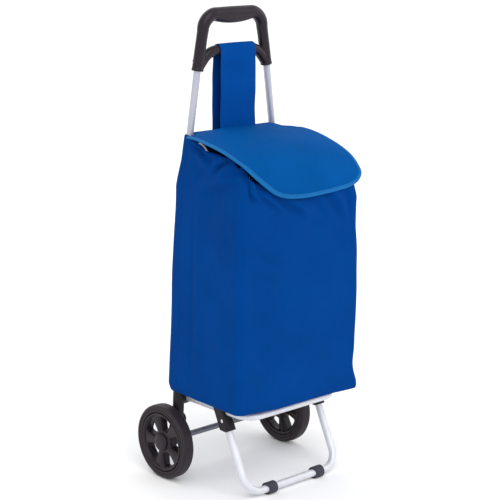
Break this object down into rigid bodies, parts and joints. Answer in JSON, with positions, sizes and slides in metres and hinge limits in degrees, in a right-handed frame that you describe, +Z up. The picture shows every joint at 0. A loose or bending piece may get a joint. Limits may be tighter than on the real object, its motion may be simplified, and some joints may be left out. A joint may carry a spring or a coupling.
{
  "type": "folding shopping trolley",
  "caption": "Upright trolley: bag with lift-up flap on a bent tube frame, loop handle, wheels at the back, fold-up platform and swing-down leg.",
  "frame": {"origin": "on the floor, under the centre of the bounding box", "axes": "+Z up; the trolley's front, where the flap hangs, faces -Y; the wheels are at the back, +Y; X runs along the axle"},
  "size_m": [0.3518, 0.2977, 0.9239],
  "materials": {
    "cloth": "coated woven polyester, slight sheen",
    "piping": "woven binding tape",
    "cord": "braided cord",
    "painted_tube": "smooth silver paint",
    "steel": "zinc plated",
    "grip_plastic": "satin, fine moulded grain",
    "black_plastic": "satin",
    "wheel_plastic": "satin",
    "tyre": "matt, fine moulded grain",
    "foot_rubber": "matt"
  },
  "bodies": {
    "frame": {"handle": "grip_plastic", "handle_rivets": "steel", "frame_tube_left": "painted_tube", "frame_tube_right": "painted_tube", "rear_bracket_left": "black_plastic", "rear_bracket_right": "black_plastic", "bracket_screws": "steel", "axle": "steel", "axle_washers": "steel", "axle_push_nuts": "steel", "platform_hinge_pins": "steel", "bag_body": "cloth", "base_board": "black_plastic", "bag_sleeve_left": "cloth", "bag_sleeve_right": "cloth", "hanging_strap": "cloth", "drawstring": "cord", "hub_cap_left": "wheel_plastic", "hub_cap_right": "wheel_plastic"},
    "wheel_left": {"tyre_left": "tyre", "wheel_hub_left": "wheel_plastic"},
    "wheel_right": {"tyre_right": "tyre", "wheel_hub_right": "wheel_plastic"},
    "platform": {"platform_rod": "painted_tube", "leg_clamp_left": "black_plastic", "leg_clamp_right": "black_plastic", "clamp_rivets": "steel", "leg_pivot_pins": "steel"},
    "leg": {"leg_tube": "painted_tube", "foot_left": "foot_rubber", "foot_right": "foot_rubber"},
    "flap": {"flap_panel": "cloth", "flap_piping": "piping"}
  },
  "joints": [
    {"name": "wheel_left_spin", "type": "hinge", "parent": "frame", "child": "wheel_left", "pos_m": [-0.15875, 0.0739, 0.075], "axis": [1, 0, 0], "continuous": true},
    {"name": "wheel_right_spin", "type": "hinge", "parent": "frame", "child": "wheel_right", "pos_m": [0.15875, 0.0739, 0.075], "axis": [1, 0, 0], "continuous": true},
    {"name": "platform_fold", "type": "hinge", "parent": "frame", "child": "platform", "pos_m": [0, 0.0629, 0.16275], "axis": [-1, 0, 0], "range_deg": [0, 80], "deforming": ["bag_body", "base_board", "bag_sleeve_left", "bag_sleeve_right", "drawstring", "flap_panel", "flap_piping"]},
    {"name": "leg_fold", "type": "hinge", "parent": "platform", "child": "leg", "pos_m": [0, -0.0651, 0.1457], "axis": [1, 0, 0], "range_deg": [0, 82]},
    {"name": "flap_open", "type": "hinge", "parent": "frame", "child": "flap", "pos_m": [0, 0.0359, 0.6955], "axis": [-1, 0, 0], "range_deg": [0, 85]}
  ]
}
